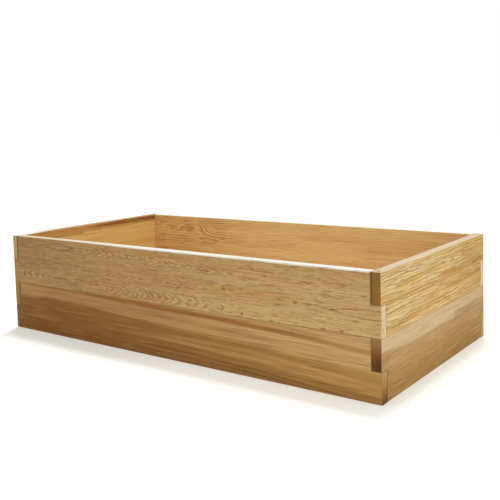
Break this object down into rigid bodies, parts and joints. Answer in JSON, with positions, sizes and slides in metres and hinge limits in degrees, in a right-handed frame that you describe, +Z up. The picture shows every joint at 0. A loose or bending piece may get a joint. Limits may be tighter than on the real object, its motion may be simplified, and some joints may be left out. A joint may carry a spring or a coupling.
{
  "type": "raised garden bed",
  "caption": "Bottomless rectangular cedar garden bed of stacked boards with half-height finger corners, locked by a wooden dowel through each corner.",
  "frame": {"origin": "on the ground, in the middle of the bed's footprint", "axes": "+X to the right along the long boards, +Y to the back along the short boards, +Z up along the corner dowels"},
  "size_m": [1.219, 0.61, 0.2794],
  "materials": {
    "cedar_tan": "planed western red cedar, unfinished, satin",
    "cedar_honey": "planed western red cedar, unfinished, satin",
    "cedar_gold": "planed western red cedar, unfinished, satin",
    "cedar_straw": "planed western red cedar, unfinished, satin",
    "cedar_brown": "planed western red cedar, unfinished, satin",
    "cedar_russet": "planed western red cedar, unfinished, satin",
    "cedar_amber": "planed western red cedar, unfinished, satin",
    "cedar_rose": "planed western red cedar, unfinished, satin",
    "dowel_wood": "pale sanded hardwood dowel, unfinished"
  },
  "bodies": {
    "lower_course": {"front_board_lower": "cedar_brown", "back_board_lower": "cedar_russet", "left_board_lower": "cedar_amber", "right_board_lower": "cedar_rose"},
    "upper_long_boards": {"front_board_upper": "cedar_tan", "back_board_upper": "cedar_honey"},
    "upper_left_board": {"left_board_upper": "cedar_gold"},
    "upper_right_board": {"right_board_upper": "cedar_straw"},
    "pin_front_left": {"corner_pin_front_left": "dowel_wood"},
    "pin_front_right": {"corner_pin_front_right": "dowel_wood"},
    "pin_back_left": {"corner_pin_back_left": "dowel_wood"},
    "pin_back_right": {"corner_pin_back_right": "dowel_wood"}
  },
  "joints": [
    {"name": "upper_long_boards_lift", "type": "slide", "parent": "lower_course", "child": "upper_long_boards", "axis": [0, 0, 1], "range_m": [0, 0.1397]},
    {"name": "upper_left_board_lift", "type": "slide", "parent": "upper_long_boards", "child": "upper_left_board", "axis": [0, 0, 1], "range_m": [0, 0.1397]},
    {"name": "upper_right_board_lift", "type": "slide", "parent": "upper_long_boards", "child": "upper_right_board", "axis": [0, 0, 1], "range_m": [0, 0.1397]},
    {"name": "pin_front_left_pull", "type": "slide", "parent": "lower_course", "child": "pin_front_left", "axis": [0, 0, 1], "range_m": [0, 0.2794]},
    {"name": "pin_front_right_pull", "type": "slide", "parent": "lower_course", "child": "pin_front_right", "axis": [0, 0, 1], "range_m": [0, 0.2794]},
    {"name": "pin_back_left_pull", "type": "slide", "parent": "lower_course", "child": "pin_back_left", "axis": [0, 0, 1], "range_m": [0, 0.2794]},
    {"name": "pin_back_right_pull", "type": "slide", "parent": "lower_course", "child": "pin_back_right", "axis": [0, 0, 1], "range_m": [0, 0.2794]}
  ]
}
